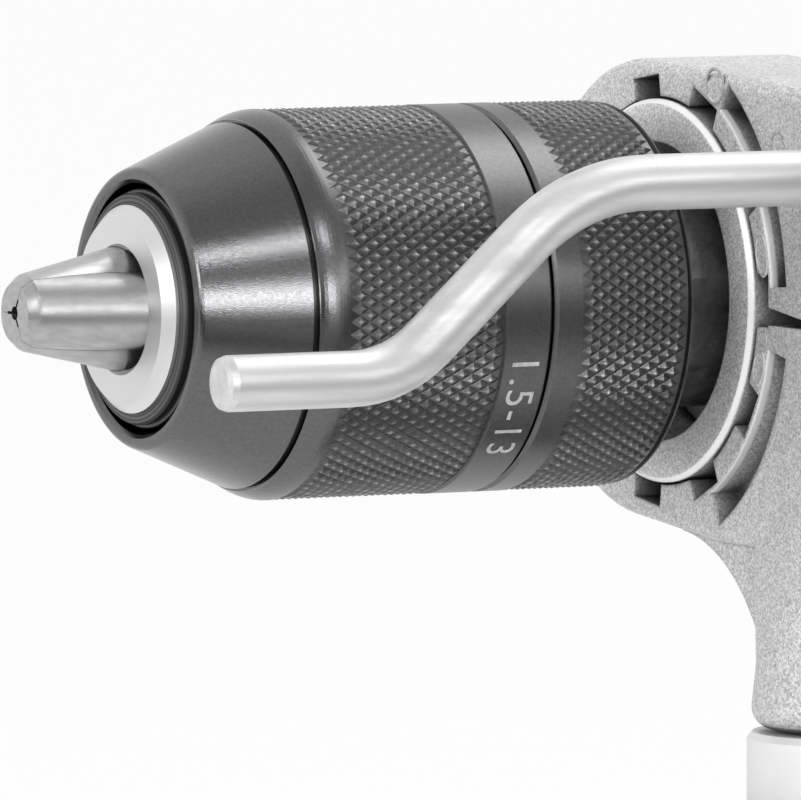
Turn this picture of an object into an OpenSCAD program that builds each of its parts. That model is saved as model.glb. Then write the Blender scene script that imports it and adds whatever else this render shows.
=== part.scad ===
// Corded hammer drill with a keyless two-sleeve chuck, a clamped side handle and a depth rod.
// Millimetres. The spindle axis is the X axis. The jaw tips lie at X = 0 and the tool points to -X.
// +Z is up, and -Y is the side that carries the depth rod.

/* [Chuck] */
// Radius of both chuck sleeves
chuck_r = 21.5; // [21:0.1:23]
// How far the closed jaws stand out of the nose
jaw_reach = 12.7; // [12:0.1:14]
// How far the nose stands out of the front sleeve
nose_lip = 2; // [1.5:0.1:2.5]
// Radius of the bright nose of the chuck body
nose_r = 11.4; // [11:0.1:12]
// Length of the front sleeve
front_sleeve_len = 40.4; // [39:0.1:43]
// Length of the rear sleeve
rear_sleeve_len = 17.6; // [16.5:0.1:20]
// Radius of the front sleeve's mouth
sleeve_mouth_r = 13.8; // [13.6:0.1:14.4]
// Radius of one jaw rod
jaw_r = 4.25; // [4:0.05:4.4]
// Length of one jaw along its own axis
jaw_len = 35; // [33:0.5:36]
// Lean of each jaw to the spindle axis, in degrees
jaw_tilt = 14; // [13.5:0.1:14.5]
// Radius of the closed jaws at their tips
jaw_tip_r = 4; // [3.8:0.05:4.2]
// Radius of the hole left between the closed jaws
jaw_hole_r = 0.75; // [0.6:0.05:0.9]
// Length of the split nut that drives the jaws
nut_len = 6.9; // [6:0.1:7.5]
// Radius of the thrust balls behind the nut
thrust_ball_r = 1.4; // [1.2:0.05:1.5]

/* [Spindle] */
// Radius of the thread that the chuck screws onto
thread_r = 6.35; // [6:0.05:6.5]
// Radius of the barrel behind the chuck
barrel_r = 13; // [12.6:0.1:13.4]
// Distance across the two spanner flats of the barrel
barrel_flats = 24; // [23.4:0.1:24.6]
// How far the spindle moves back under hammer load
hammer_travel = 1.2; // [0.8:0.1:1.4]
// Teeth of the hammer ratchet
ratchet_teeth = 13; // [11:1:16]

/* [Gears] */
// Module of the slow gear pair
slow_module = 1; // [0.98:0.01:1.02]
// Teeth of the spindle gear
spindle_teeth = 34; // [32:2:36]
// Teeth of the intermediate pinion
slow_pinion_teeth = 10; // [10:2:12]
// Module of the fast gear pair
fast_module = 0.8; // [0.78:0.01:0.82]
// Teeth of the intermediate gear
fast_gear_teeth = 31; // [29:2:33]
// Teeth of the armature pinion
fast_pinion_teeth = 8; // [8:1:9]
// Width of the spindle gear
spindle_gear_w = 12; // [10:0.5:13]
// Width of the intermediate gear
fast_gear_w = 6.4; // [5.5:0.1:6.8]
// Play between tooth flanks
backlash = 0.12; // [0.08:0.01:0.2]

/* [Gear case] */
// Radius of the clamping collar
collar_r = 21.4; // [21:0.1:21.8]
// Radius of the collar's open mouth
mouth_r = 16.7; // [16.4:0.1:17]
// Gap between the chuck and the collar
collar_gap = 6.8; // [6:0.1:8]
// Length of the gear case behind the collar
case_len = 47.2; // [47:0.1:50]
// Radius of the gear case and of the motor housing
housing_r = 35; // [34.5:0.1:37]
// Thickness of the housing wall
wall = 3.4; // [3:0.1:3.8]

/* [Motor] */
// Length of the armature core
core_len = 42; // [36:1:44]
// Radius of the armature core
core_r = 17; // [15:0.5:18]
// Radius of the commutator
commutator_r = 11; // [10:0.5:12]
// Radius of the fan
fan_r = 28; // [26:0.5:29]
// Number of fan blades
fan_blades = 13; // [9:1:17]
// Length of the motor housing, from the gear case to its rear end
motor_len = 119.7; // [119:0.1:124]

/* [Pistol grip] */
// Level of the base of the grip below the spindle axis
grip_drop = 166; // [160:1:175]
// Width of the grip
grip_w = 37; // [35:0.5:40]
// Depth of the grip at its waist
grip_depth = 43; // [41:0.5:46]
// Travel of the trigger
trigger_travel = 8; // [5:0.5:8]
// Radius of the cord that the gland takes, with its play
cord_bore_r = 4.1; // [3.6:0.1:4.6]

/* [Side handle] */
// Thickness of the clamp along the spindle
clamp_w = 19.9; // [19:0.1:21]
// Radius of the clamp's outline on the hinge side
clamp_r = 25.7; // [25.4:0.1:26.5]
// Offset of that outline from the spindle axis
clamp_offset = 4.6; // [4.3:0.1:5]
// Distance of the handle bolt from the spindle axis
bolt_y = 27; // [26.6:0.1:28]
// Radius of the handle bolt
bolt_r = 3; // [2.6:0.1:3.2]
// Radius of the clamp's neck
neck_r = 11.5; // [11:0.1:12]
// Level of the neck's end below the spindle axis
neck_drop = 47.1; // [46:0.1:50]
// Largest radius of the side grip
side_grip_r = 17; // [16:0.5:19]
// Notches round the bore of the clamp
clamp_notches = 11; // [9:1:12]

/* [Depth rod] */
// Radius of the depth rod
rod_r = 3.05; // [2.8:0.05:3.2]
// Distance of the rod from the spindle axis, sideways
rod_y = 38; // [37.8:0.1:39]
// Level of the rod in its clamp
rod_z = 14.6; // [14:0.1:15]
// Level of the front end of the rod
rod_front_z = -5.5; // [-7:0.1:-4]
// Bend of the crank in the rod, in degrees
rod_bend = 42; // [38:1:46]
// Distance of the rod's front end behind the jaw tips
rod_tip_x = 5.3; // [0:0.1:8]
// Distance of the rod's rear end behind the jaw tips
rod_end_x = 190; // [150:1:195]

/* [Hidden] */
$fn = 64;
eps = 0.01;
// Clearances
fit = 0.03;
run = 0.05;
gap = 0.3;
seam = 0.3;

// Stations along the spindle axis
nose_x = jaw_reach;
front_sleeve_x = nose_x + nose_lip;
seam_x = front_sleeve_x + front_sleeve_len;
rear_sleeve_x = seam_x + seam;
chuck_end_x = rear_sleeve_x + rear_sleeve_len;
collar_x = chuck_end_x + collar_gap;
clamp_x = collar_x + 0.8;
clamp_mid_x = clamp_x + 9.7;
collar_len = clamp_x + clamp_w + gap - collar_x;
shoulder_x = collar_x + collar_len;
case_end_x = shoulder_x + case_len;
taper_end_x = shoulder_x + 25.2;

// Jaws and chuck body
jaw_axis_r = jaw_tip_r - jaw_r / cos(jaw_tilt);
function jaw_reach_at(x) = jaw_tip_r + x * tan(jaw_tilt);
groove_x = front_sleeve_x + 12.3;
nut_x = groove_x + gap;
ball_x = nut_x + nut_len + run;
thrust_x = ball_x + 2 * thrust_ball_r + run;
groove_r = jaw_reach_at(groove_x) - gap;
thrust_r = jaw_reach_at(thrust_x) + thrust_ball_r + 0.6;
knurl_r = chuck_r - 0.4;
sleeve_bore_r = chuck_r - 3.4;
body_mid_r = sleeve_bore_r - 0.6;
body_seat_r = chuck_r - 2.3;
nut_r = sleeve_bore_r - 0.8;
body_end_x = chuck_end_x - 1;
body_seat_x = body_end_x - 8.4;
thread_x = body_end_x - 25;
bit_bore_r = 6.6;
screw_seat_x = thread_x - 4.4;

// Spindle and hammer
barrel_x = body_end_x;
bearing_x = collar_x + 8.5;
front_bearing_w = 9;
front_bearing_r = 16;
journal_r = 7.5;
shaft_r = journal_r - 0.1;
ratchet_x = bearing_x + front_bearing_w + 0.9;
ratchet_w = 4.8;
ratchet_tooth = 1.6;
ratchet_r = 12.6;
fixed_ratchet_x = ratchet_x + ratchet_w + ratchet_tooth + hammer_travel + gap;
spring_in_r = ratchet_r + 0.5;
spring_out_r = front_bearing_r - 0.4;
spring_discs = 5;
disc_w = 0.8;
spring_x = bearing_x + front_bearing_w + run;
case_step_x = fixed_ratchet_x - 0.1;
web_x = fixed_ratchet_x + ratchet_tooth + 4.4;

// Gear train
slow_shift = 0.4;
fast_shift = 0.45;
slow_distance = slow_module * (spindle_teeth + slow_pinion_teeth) / 2;
fast_distance = fast_module * (fast_gear_teeth + fast_pinion_teeth) / 2;
lay_z = -slow_distance;
motor_z = lay_z + fast_distance;
gear_room_x = web_x + 2.2;
spindle_gear_x = gear_room_x + 3.6;
plate_x = spindle_gear_x + spindle_gear_w + hammer_travel + 2;
plate_w = 5;
bush_r = 5.5;
fast_gear_x = plate_x + plate_w + 0.8;
bracket_x = fast_gear_x + fast_gear_w + 1.6;
bracket_w = 11.5;
lay_shaft_r = 4;
armature_r = 4;
motor_bearing_r = 11;
motor_bearing_w = 7;
room_r = housing_r - wall;
selector_z = housing_r + motor_z + 0.9;
gear_room_r = slow_module * spindle_teeth / 2 + 3;

// Motor
front_bearing_x = bracket_x + 4.7;
fan_x = bracket_x + bracket_w + 3;
fan_w = 10;
core_x = fan_x + fan_w + 10.5;
stator_r = room_r - 0.8;
commutator_x = core_x + core_len + 8;
commutator_w = 13;
rear_bearing_x = commutator_x + commutator_w + 7;
shell_x = case_end_x + seam;
shell_end_x = case_end_x + motor_len;

// Pistol grip, as level sections: centre along X, level, depth, width, corner radius
grip_x = shell_x + 84.7;
sections = [
    [grip_x - 5, -24, grip_depth + 19, grip_w + 3, 14],
    [grip_x, -52, grip_depth + 3, grip_w, 15],
    [grip_x + 8, -100, grip_depth, grip_w - 1, 15.5],
    [grip_x + 19, -grip_drop + 16, grip_depth + 4, grip_w + 1, 15],
    [grip_x + 23, -grip_drop + 3, grip_depth + 9, grip_w + 3, 14]];
base_x = grip_x + 23.6;
trigger_z = -61;
trigger_h = 30;
trigger_w = 17;
trigger_x = grip_x - 34;
trigger_end = 20.5;
switch_x = trigger_x + trigger_end + trigger_travel + gap;
switch_len = 16;
switch_w = 18;
switch_h = 31;
lever_z = trigger_z + trigger_h / 2 + 1;
lever_h = 3.2;
button_x = grip_x - 5;
button_z = trigger_z - 6;
button_r = 5;
button_travel = 3;
gland_x = base_x + 3;

// Side handle
clamp_bore_r = collar_r + gap;
pin_y = clamp_offset + clamp_r - 4;
pin_r = 1.8;
knuckle_r = 4;
knuckle_w = clamp_w / 3;
notch_r = clamp_bore_r + 2.3;
notch_w = 5.9;
notch_depth = 5;
slot_in_r = 24.5;
slot_out_r = 28;
slot_depth = 3.6;
ear_y = rod_y + 6;
ear_corner = 5.5;
ear_top = 23.5;
nut_z = 13;
nut_h = 5;
hex_r = 1.92 * bolt_r;
bolt_slack = 0.8;
bolt_root_r = bolt_r - 0.75;
bolt_depth = 30;
grip_top_z = -neck_drop - gap;
grip_end_z = -grip_drop;

// A turned shape round the spindle axis, from a profile of [radius, x] points
module turned() {
    rotate([0, 90, 0]) rotate_extrude() children();
}

// A turned shape round the motor axis
module motor_turned() {
    translate([0, 0, motor_z]) turned() children();
}

// A round bar along X
module bar_x(x, len, r, y = 0, z = 0) {
    translate([x, y, z]) rotate([0, 90, 0]) cylinder(h = len, r = r);
}

// A ring along X
module ring_x(x, len, r_out, r_in, y = 0, z = 0) {
    difference() {
        bar_x(x, len, r_out, y, z);
        bar_x(x - 1, len + 2, r_in, y, z);
    }
}

// A round bar along Y, from y towards the rod side for a negative length
module bar_y(x, z, y_low, y_high, r) {
    translate([x, y_high, z]) rotate([90, 0, 0]) cylinder(h = y_high - y_low, r = r);
}

// An outline of [y, z] points, drawn along X
module slab_x(x, len) {
    translate([x, 0, 0]) rotate([90, 0, 90]) linear_extrude(len) children();
}

// Points of an arc
function arc(cx, cy, r, from, to, steps = 8) =
    [for (i = [0:steps]) let (a = from + (to - from) * i / steps) [cx + r * cos(a), cy + r * sin(a)]];

// Involute teeth with profile shift; the first tooth is centred on the local X axis
function involute(base, r) =
    let (a = acos(min(1, base / r))) (tan(a) - a * PI / 180) * 180 / PI;
function tooth_half_angle(base, pitch, half, r) =
    half + involute(base, pitch) - involute(base, max(base, r));

module gear_outline(teeth, mod, shift) {
    pitch = mod * teeth / 2;
    base = pitch * cos(20);
    tip = pitch + mod * (0.9 + shift);
    root = pitch - mod * (1.25 - shift);
    half = (mod * (PI / 2 + 2 * shift * tan(20)) / 2 - backlash / 2) / pitch * 180 / PI;
    start = max(base, root);
    radii = [for (i = [0:4]) start + (tip - start) * i / 4];
    polygon([for (t = [0:teeth - 1]) let (turn = t * 360 / teeth) each concat(
        [polar(root, turn - tooth_half_angle(base, pitch, half, root))],
        [for (r = radii) polar(r, turn - tooth_half_angle(base, pitch, half, r))],
        [for (i = [4:-1:0]) polar(radii[i], turn + tooth_half_angle(base, pitch, half, radii[i]))],
        [polar(root, turn + tooth_half_angle(base, pitch, half, root))])]);
}
function polar(r, a) = [r * cos(a), r * sin(a)];

module gear_x(x, w, teeth, mod, shift, phase, z) {
    translate([x, 0, z]) rotate([0, 90, 0]) rotate([0, 0, phase])
        linear_extrude(w) gear_outline(teeth, mod, shift);
}

// A deep-groove ball bearing: two rings and their balls
module ball_bearing(x, w, r_out, r_in, race, balls, z = 0) {
    mid_r = (r_out + r_in) / 2;
    ball_r = (r_out - r_in) / 2 - race;
    ring_x(x, w, r_out, r_out - race, 0, z);
    ring_x(x, w, r_in + race, r_in, 0, z);
    for (i = [0:balls - 1]) translate([x + w / 2, 0, z]) rotate([i * 360 / balls, 0, 0])
        translate([0, mid_r, 0]) sphere(r = ball_r - run);
}

// Chuck

module jaw_rod(r, start, len) {
    translate([0, -jaw_axis_r, 0]) rotate([0, 0, -jaw_tilt]) bar_x(start, len, r);
}

// One jaw: a leaning rod, faced at the tip and trimmed to its third of the circle
module jaw(turn) {
    color("lightgray") rotate([turn, 0, 0]) difference() {
        intersection() {
            jaw_rod(jaw_r, -6, jaw_len + 6);
            turned() polygon([[0, 0], [jaw_tip_r - 0.7, 0], [jaw_tip_r + 0.1, 0.9],
                [40, 60], [0, 60]]);
            slab_x(-1, 70) polygon([[-0.035, 0], [-30, 51.9], [-30, -51.9]]);
        }
        bar_x(-1, 22, jaw_hole_r);
        for (side = [-60, 60]) rotate([side, 0, 0]) translate([-1, -1.7, -0.16]) cube([22, 1.7, 0.32]);
        for (i = [0:7]) let (x = jaw_len * cos(jaw_tilt) - 2 - 1.5 * i, r = jaw_reach_at(x))
            turned() polygon([[r - 0.7, x], [r + 3, x - 0.9], [r + 3, x + 0.9]]);
    }
}

module chuck_body() {
    color("silver") difference() {
        turned() polygon([[bit_bore_r, nose_x + 0.6], [bit_bore_r + 0.6, nose_x], [nose_r - 1.2, nose_x],
            [nose_r, nose_x + 1.2], [nose_r, groove_x], [groove_r, groove_x], [groove_r, thrust_x],
            [body_mid_r, thrust_x], [body_mid_r, body_seat_x], [body_seat_r, body_seat_x],
            [body_seat_r, body_end_x], [thread_r + fit, body_end_x], [thread_r + fit, thread_x - 0.4],
            [3.3, thread_x - 0.4], [3.3, screw_seat_x], [bit_bore_r, screw_seat_x]]);
        for (turn = [0, 120, 240]) rotate([turn, 0, 0]) jaw_rod(jaw_r + run, 5, 59);
    }
}

module dust_ring() {
    color("dimgray") turned() polygon([[nose_r + run, front_sleeve_x - 0.4], [nose_r + 1, front_sleeve_x - 0.4],
        [nose_r + 1.3, front_sleeve_x], [nose_r + 1.3, front_sleeve_x + 0.7],
        [nose_r + 1.7, front_sleeve_x + 0.9], [nose_r + 1.7, front_sleeve_x + 2.9],
        [nose_r + run, front_sleeve_x + 2.9]]);
}

// Front sleeve: a lipped cone, a fine groove and the two grip bands
module front_sleeve() {
    x0 = front_sleeve_x;
    x1 = seam_x;
    bore = sleeve_bore_r;
    color("dimgray") turned() polygon(concat(
        [[sleeve_mouth_r, x0 + 0.5], [sleeve_mouth_r + 0.4, x0]],
        arc(sleeve_mouth_r + 0.9, x0 + 0.9, 0.9, 270, 340, 4),
        [[chuck_r - 1.4, x0 + 11.5], [chuck_r - 1.9, x0 + 11.65], [chuck_r - 1.9, x0 + 12.05],
        [chuck_r - 1.1, x0 + 12.1]], arc(chuck_r - 5, x0 + 15.3, 5, -38, 0, 8),
        [[knurl_r, x0 + 15.5], [knurl_r, x1 - 5.9], [chuck_r, x1 - 5.7],
        [chuck_r, x1 - 0.4], [chuck_r - 0.4, x1], [bore, x1], [bore, ball_x + 0.6],
        [nut_r, ball_x + 0.2], [nut_r, nut_x - gap], [jaw_reach_at(nut_x) + 2.6, nut_x - gap],
        [sleeve_mouth_r, x0 + 4]]));
}

// The nut is cracked in two, so that it can be laid into the groove of the chuck body
module split_nut() {
    color("darkgray") difference() {
        turned() polygon([[jaw_reach_at(nut_x) + gap, nut_x], [nut_r - fit, nut_x],
            [nut_r - fit, nut_x + nut_len], [jaw_reach_at(nut_x + nut_len) + gap, nut_x + nut_len]]);
        translate([nut_x - 1, -30, -0.1]) cube([nut_len + 2, 60, 0.2]);
    }
}

module thrust_balls() {
    count = floor(2 * PI * thrust_r / (2 * thrust_ball_r + 1));
    color("lightgray") for (i = [0:count - 1]) rotate([i * 360 / count, 0, 0])
        translate([ball_x + thrust_ball_r, thrust_r, 0]) sphere(r = thrust_ball_r);
}

module rear_sleeve() {
    x0 = rear_sleeve_x;
    x1 = chuck_end_x;
    color("dimgray") turned() polygon([[body_seat_r + 0.1, x0], [chuck_r - 0.4, x0], [chuck_r, x0 + 0.4],
        [chuck_r, x0 + 3.4], [knurl_r, x0 + 3.6], [knurl_r, x1 - 1.1], [chuck_r - 0.7, x1 - 0.9],
        [chuck_r - 0.7, x1 - 0.65], [chuck_r - 0.25, x1 - 0.5], [chuck_r - 0.5, x1 - 0.1],
        [chuck_r - 0.9, x1], [barrel_r + 0.6, x1], [barrel_r + 0.6, body_end_x + fit],
        [body_seat_r + fit, body_end_x + fit], [body_seat_r + fit, body_seat_x - 0.2],
        [body_seat_r + 0.1, body_seat_x - 0.4]]);
}

// Screw through the bottom of the chuck into the spindle
module chuck_screw() {
    color("gray") difference() {
        union() {
            bar_x(screw_seat_x - 3.4, 3.4, 4.3);
            bar_x(screw_seat_x - eps, 18, 3);
        }
        bar_x(screw_seat_x - 4, 2.6, 2);
    }
}

// Spindle and hammer

module spindle() {
    flat_x = barrel_x + 2;
    color("dimgray") difference() {
        turned() polygon([[0, thread_x], [thread_r - 0.6, thread_x], [thread_r, thread_x + 0.6],
            [thread_r, barrel_x], [barrel_r, barrel_x], [barrel_r, bearing_x - 1.8],
            [barrel_r - 1.2, bearing_x - 0.6], [journal_r + 1.4, bearing_x - 0.6],
            [journal_r + 1.4, bearing_x], [journal_r - fit, bearing_x],
            [journal_r - fit, bearing_x + front_bearing_w], [shaft_r, bearing_x + front_bearing_w + 0.1],
            [shaft_r, plate_x - 1.9], [bush_r, plate_x - 1.9], [bush_r, plate_x + plate_w - 1.7],
            [bush_r - 0.5, plate_x + plate_w - 1.2], [0, plate_x + plate_w - 1.2]]);
        bar_x(thread_x - 1, 20, 3 + run);
        rotate([13, 0, 0]) for (side = [0, 180]) rotate([side, 0, 0])
            translate([flat_x, -barrel_r - 4, -barrel_r]) cube([10.6, 4 + barrel_r - barrel_flats / 2, 2 * barrel_r]);
        translate([spindle_gear_x - 0.5, shaft_r - 1.2, -1.5]) cube([spindle_gear_w + 1, 3, 3]);
    }
}

module spindle_gear() {
    color("darkgray") difference() {
        gear_x(spindle_gear_x, spindle_gear_w, spindle_teeth, slow_module, -slow_shift, 0, 0);
        bar_x(spindle_gear_x - 1, spindle_gear_w + 2, shaft_r + fit);
        for (side = [-1, spindle_gear_w - 2])
            ring_x(spindle_gear_x + side, 3, slow_module * spindle_teeth / 2 - 4, shaft_r + 4);
    }
}

// Saw teeth on one face of a ratchet ring; lean is 1 or -1
module ratchet(x, w, r_out, r_in, tooth_x) {
    step = 360 / ratchet_teeth;
    wide = 2 * PI * r_out / ratchet_teeth;
    difference() {
        union() {
            bar_x(x, w, r_out);
            intersection() {
                bar_x(x - ratchet_tooth, w + 2 * ratchet_tooth, r_out - 0.01);
                for (i = [0:ratchet_teeth - 1]) rotate([i * step, 0, 0]) translate([0, 0, r_in - 1])
                    linear_extrude(r_out) polygon([[tooth_x[0], -wide * 0.38], [tooth_x[1], -wide * 0.38],
                        [tooth_x[1], -wide * 0.28], [tooth_x[0], wide * 0.38]]);
            }
        }
        bar_x(x - 5, w + 10, r_in);
    }
}

module turning_ratchet() {
    end = ratchet_x + ratchet_w;
    color("darkgray") ratchet(ratchet_x, ratchet_w, ratchet_r, shaft_r + fit, [end - 0.2, end + ratchet_tooth]);
}

module fixed_ratchet() {
    face = fixed_ratchet_x + ratchet_tooth;
    color("darkgray") ratchet(face, 4.2, ratchet_r, shaft_r + 1.1, [face + 0.2, fixed_ratchet_x]);
}

// Stack of flat spring discs on the front bearing, joined by turns at their outer and inner rims;
// under load it closes on the step of the gear case
module hammer_spring() {
    length = case_step_x - spring_x - hammer_travel - gap;
    pitch = (length - disc_w) / (spring_discs - 1);
    color("gray") for (i = [0:spring_discs - 1]) let (x = spring_x + pitch * i) {
        ring_x(x, disc_w, spring_out_r, spring_in_r);
        if (i < spring_discs - 1) ring_x(x, pitch + disc_w, i % 2 == 0 ? spring_out_r : spring_in_r + disc_w,
            i % 2 == 0 ? spring_out_r - disc_w : spring_in_r);
    }
}

module front_bearing() {
    color("silver") ball_bearing(bearing_x, front_bearing_w, front_bearing_r, journal_r, 2.2, 9);
}

module rear_bush() {
    color("goldenrod") ring_x(plate_x + fit, plate_w, bush_r + 2, bush_r + run);
}

// Gear case

module case_boss_places() {
    for (a = [45:90:315]) translate([0, 0, motor_z]) rotate([a, 0, 0])
        translate([0, room_r + 2.6, 0]) children();
}

module gear_case() {
    head_x = taper_end_x + 1;
    color("gainsboro") difference() {
        union() {
            turned() polygon([[mouth_r, collar_x], [collar_r - 0.5, collar_x], [collar_r, collar_x + 0.5],
                [collar_r, shoulder_x + 1], [mouth_r, shoulder_x + 1]]);
            hull() {
                bar_x(shoulder_x, 1.4, 23.6, $fn = 72);
                bar_x(shoulder_x + 1.4, 1, 24.6, $fn = 72);
                bar_x(taper_end_x, 0.5, housing_r, 0, motor_z, $fn = 72);
            }
            bar_x(taper_end_x + 0.4, case_end_x - taper_end_x - 0.4, housing_r, 0, motor_z);
            ring_x(case_end_x - 3, 3, housing_r + 0.6, housing_r - 1, 0, motor_z);
            case_boss_places() bar_x(taper_end_x, case_end_x - taper_end_x, 4.6);
            translate([spindle_gear_x + 6, 0, 20]) cylinder(h = selector_z - 20.3, r = 12.5);
        }
        bar_x(collar_x - 1, 12, mouth_r - 0.001);
        bar_x(bearing_x - gap, case_step_x - bearing_x + gap, front_bearing_r + fit);
        bar_x(case_step_x - 1, web_x - case_step_x + 1, ratchet_r + fit);
        bar_x(web_x - 1, 5, shaft_r + 1);
        bar_x(gear_room_x, plate_x - gear_room_x, gear_room_r);
        bar_x(gear_room_x + 1, plate_x - gear_room_x, slow_module * slow_pinion_teeth / 2 + 3.4, 0, lay_z);
        bar_x(gear_room_x - 5.2, 8, lay_shaft_r + run, 0, lay_z);
        bar_x(plate_x - 0.1, case_end_x - plate_x + 1, room_r, 0, motor_z);
        case_boss_places() {
            bar_x(taper_end_x - 12, head_x - taper_end_x + 14, 3.9);
            bar_x(taper_end_x, 40, 2.1);
        }
        translate([spindle_gear_x + 6, 0, 10]) cylinder(h = 30, r = 4 + run);
    }
}

module gear_plate() {
    color("lightgray") difference() {
        bar_x(plate_x, plate_w, room_r - run, 0, motor_z);
        bar_x(plate_x - 1, plate_w + 2, bush_r + 2 + fit);
        bar_x(plate_x - 1, plate_w + 2, lay_shaft_r + 0.4, 0, lay_z);
        for (a = [-50, 0, 50, 100, 260 - 20]) translate([0, 0, motor_z]) rotate([a + 90, 0, 0])
            bar_x(plate_x - 1, plate_w + 2, 3.5, room_r - 8, 0);
    }
}

module intermediate_shaft() {
    pinion_x = spindle_gear_x - 1;
    color("darkgray") {
        bar_x(gear_room_x - 4.8, bracket_x + 4 - gear_room_x + 4.8, lay_shaft_r, 0, lay_z);
        difference() {
            gear_x(pinion_x, plate_x - gap - pinion_x, slow_pinion_teeth, slow_module, slow_shift,
                180 / slow_pinion_teeth, lay_z);
            bar_x(pinion_x - 1, 30, lay_shaft_r - 0.5, 0, lay_z);
        }
    }
}

module intermediate_gear() {
    color("gray") difference() {
        gear_x(fast_gear_x, fast_gear_w, fast_gear_teeth, fast_module, -fast_shift, 180, lay_z);
        bar_x(fast_gear_x - 1, fast_gear_w + 2, lay_shaft_r, 0, lay_z);
        for (a = [0:60:300]) translate([0, 0, lay_z]) rotate([a, 0, 0])
            bar_x(fast_gear_x - 1, fast_gear_w + 2, 1.6, 7.6, 0);
    }
}

module bearing_bracket() {
    color("lightgray") difference() {
        motor_turned() polygon([[5.6, bracket_x], [room_r - 2, bracket_x], [room_r - run, bracket_x + 1.6],
            [room_r - run, bracket_x + 7.5], [15, bracket_x + 7.5], [15, bracket_x + bracket_w],
            [motor_bearing_r + fit, bracket_x + bracket_w], [motor_bearing_r + fit, front_bearing_x - run],
            [5.6, front_bearing_x - run]]);
        bar_x(bracket_x - 1, 5.3, lay_shaft_r + run, 0, lay_z);
        for (a = [0:45:315]) translate([0, 0, motor_z]) rotate([a + 22.5, 0, 0])
            bar_x(bracket_x - 1, 12, 4.2, 23, 0);
    }
}

// Motor

module armature_shaft() {
    pinion_x = fast_gear_x + 0.2;
    color("darkgray") {
        gear_x(pinion_x, bracket_x + 0.5 - pinion_x, fast_pinion_teeth, fast_module, fast_shift,
            180 / fast_pinion_teeth, motor_z);
        bar_x(bracket_x + 0.4, rear_bearing_x + motor_bearing_w - bracket_x + 0.6, armature_r - fit, 0, motor_z);
    }
}

// Laminated core with its winding slots
module armature_core() {
    color("gray") difference() {
        bar_x(core_x, core_len, core_r, 0, motor_z);
        bar_x(core_x - 1, core_len + 2, armature_r, 0, motor_z);
        for (a = [0:30:330]) translate([core_x - 1, 0, motor_z]) rotate([a, 0, 0])
            translate([0, core_r - 6, -1.1]) cube([core_len + 2, 7, 2.2]);
    }
}

// The copper at both ends of the core
module armature_windings() {
    end_x = core_x + core_len;
    color("peru") {
        motor_turned() polygon(concat([[armature_r + 1, core_x - 0.1], [armature_r + 1, core_x - 6]],
            arc(core_r - 5, core_x - 4, 3.4, 235, 360, 6), [[core_r - 1.6, core_x - 0.1]]));
        motor_turned() polygon(concat([[armature_r + 1, end_x + 0.1], [core_r - 1.6, end_x + 0.1]],
            arc(core_r - 5, end_x + 3, 3.4, 0, 125, 6), [[armature_r + 1, end_x + 6.5]]));
    }
}

module commutator() {
    color("peru") difference() {
        motor_turned() polygon([[armature_r, commutator_x], [commutator_r + 1.6, commutator_x],
            [commutator_r + 1.6, commutator_x + 2], [commutator_r, commutator_x + 2.3],
            [commutator_r, commutator_x + commutator_w], [armature_r, commutator_x + commutator_w]]);
        for (a = [0:15:345]) translate([commutator_x - 1, 0, motor_z]) rotate([a, 0, 0])
            translate([0, commutator_r - 0.8, -0.25]) cube([commutator_w + 2, 3, 0.5]);
    }
}

module fan() {
    color("dimgray") difference() {
        union() {
            motor_turned() polygon([[armature_r, fan_x], [9, fan_x], [11, fan_x + fan_w - 2.4], [fan_r, fan_x + fan_w - 2],
                [fan_r, fan_x + fan_w], [armature_r, fan_x + fan_w]]);
            for (i = [0:fan_blades - 1]) translate([fan_x + 0.6, 0, motor_z]) rotate([i * 360 / fan_blades, 0, 0])
                translate([0, 9.5, -0.8]) cube([fan_w - 2, fan_r - 10, 1.6]);
        }
        bar_x(fan_x - 1, fan_w + 2, armature_r, 0, motor_z);
    }
}

module motor_front_bearing() {
    color("silver") ball_bearing(front_bearing_x, motor_bearing_w - 0.3, motor_bearing_r, armature_r, 1.8, 7, motor_z);
}

module motor_rear_bearing() {
    color("silver") ball_bearing(rear_bearing_x, motor_bearing_w, motor_bearing_r, armature_r, 1.8, 7, motor_z);
}

// Two-pole field core
module stator_core() {
    color("gray") difference() {
        bar_x(core_x - 1, core_len + 2, stator_r, 0, motor_z);
        bar_x(core_x - 2, core_len + 4, core_r + 0.8, 0, motor_z);
        for (side = [-1, 1]) translate([core_x - 2, side < 0 ? -core_r - 8.2 : 0, motor_z - 8])
            cube([core_len + 4, core_r + 8.2, 16]);
    }
}

module field_coils() {
    r_in = core_r + 1.4;
    r_out = stator_r - 4.2;
    color("peru") for (side = [90, -90], x = [core_x - 6.4, core_x + core_len + 1.2])
        translate([x, 0, motor_z]) rotate([0, 90, 0]) rotate([0, 0, side - 52 + 90])
            rotate_extrude(angle = 104) translate([r_in, 0]) square([r_out - r_in, 5]);
}

brush_x = commutator_x + commutator_w / 2 + 1;

module brush_sides() {
    for (side = [0, 180]) translate([brush_x, 0, motor_z]) rotate([side, 0, 0]) children();
}

module brush_holders() {
    color("goldenrod") brush_sides() difference() {
        translate([-4.2, commutator_r + 2.2, -5.4]) cube([8.4, room_r - commutator_r - 3.4, 10.8]);
        translate([-3, 0, -4.2]) cube([6, housing_r, 8.4]);
    }
}

module carbon_brushes() {
    color("black") brush_sides() translate([-2.9, commutator_r + 0.1, -4.1]) cube([5.8, 12, 8.2]);
}

module brush_caps() {
    color("black") brush_sides() difference() {
        translate([0, room_r - 0.9, 0]) rotate([-90, 0, 0]) cylinder(h = wall + 0.3, r = 7.6);
        translate([-5.6, housing_r - 1.8, -0.6]) cube([11.2, 2, 1.2]);
    }
}

// Housing shells

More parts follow.
